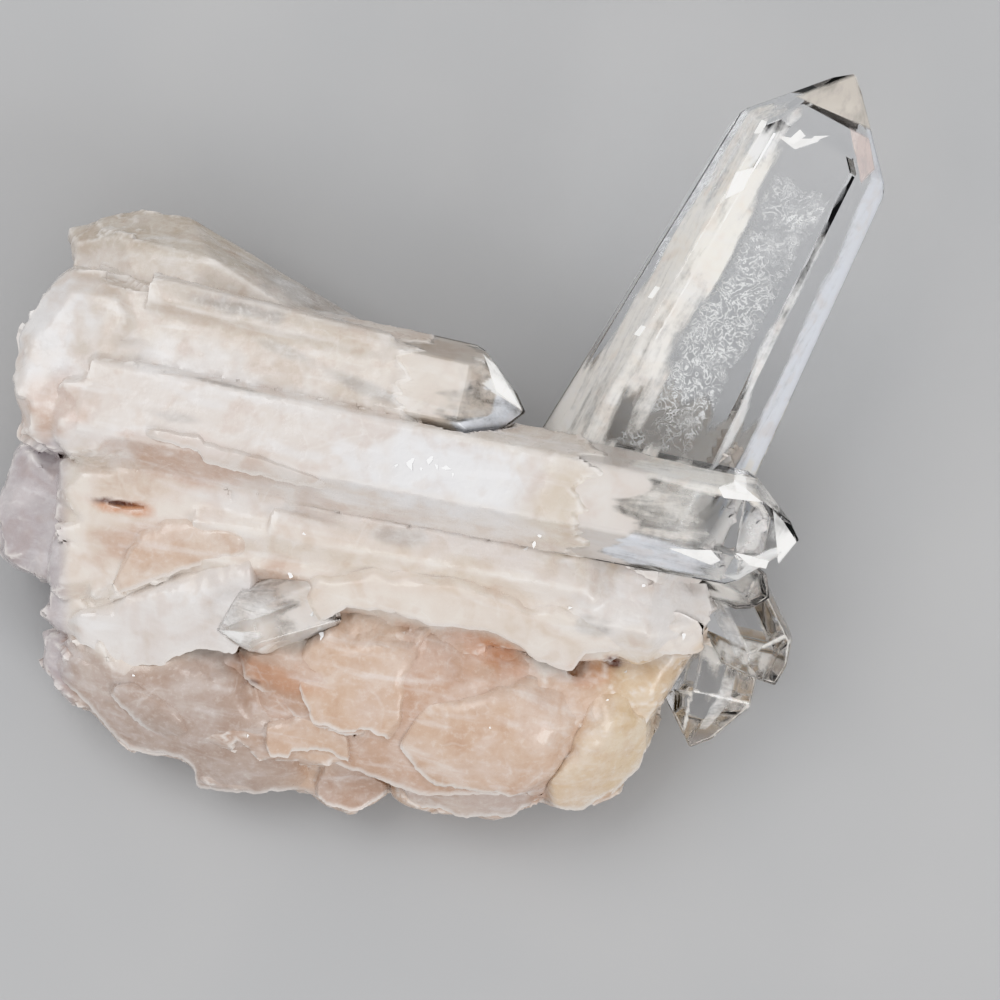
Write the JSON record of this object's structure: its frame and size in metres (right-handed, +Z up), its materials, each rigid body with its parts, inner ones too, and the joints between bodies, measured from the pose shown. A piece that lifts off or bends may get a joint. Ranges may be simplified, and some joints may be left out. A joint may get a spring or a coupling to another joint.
{
  "type": "quartz crystal cluster",
  "caption": "Cluster of clear and milky six-sided quartz points leaning out of a stepped rose-tinted mass, lying on a flat broken base.",
  "frame": {"origin": "middle of the overall box at the height of the flat broken base it rests on", "axes": "+Z up from the table; +X to the right along the long lying point, seen from above; +Y towards the tip of the tall point"},
  "size_m": [0.0888, 0.0747, 0.0288],
  "materials": {
    "quartz": "glassy crystal faces, clear at the points and milky or rose-tinted in the mass, IOR 1.544"
  },
  "bodies": {
    "root": {"quartz_cluster": "quartz"}
  },
  "joints": []
}
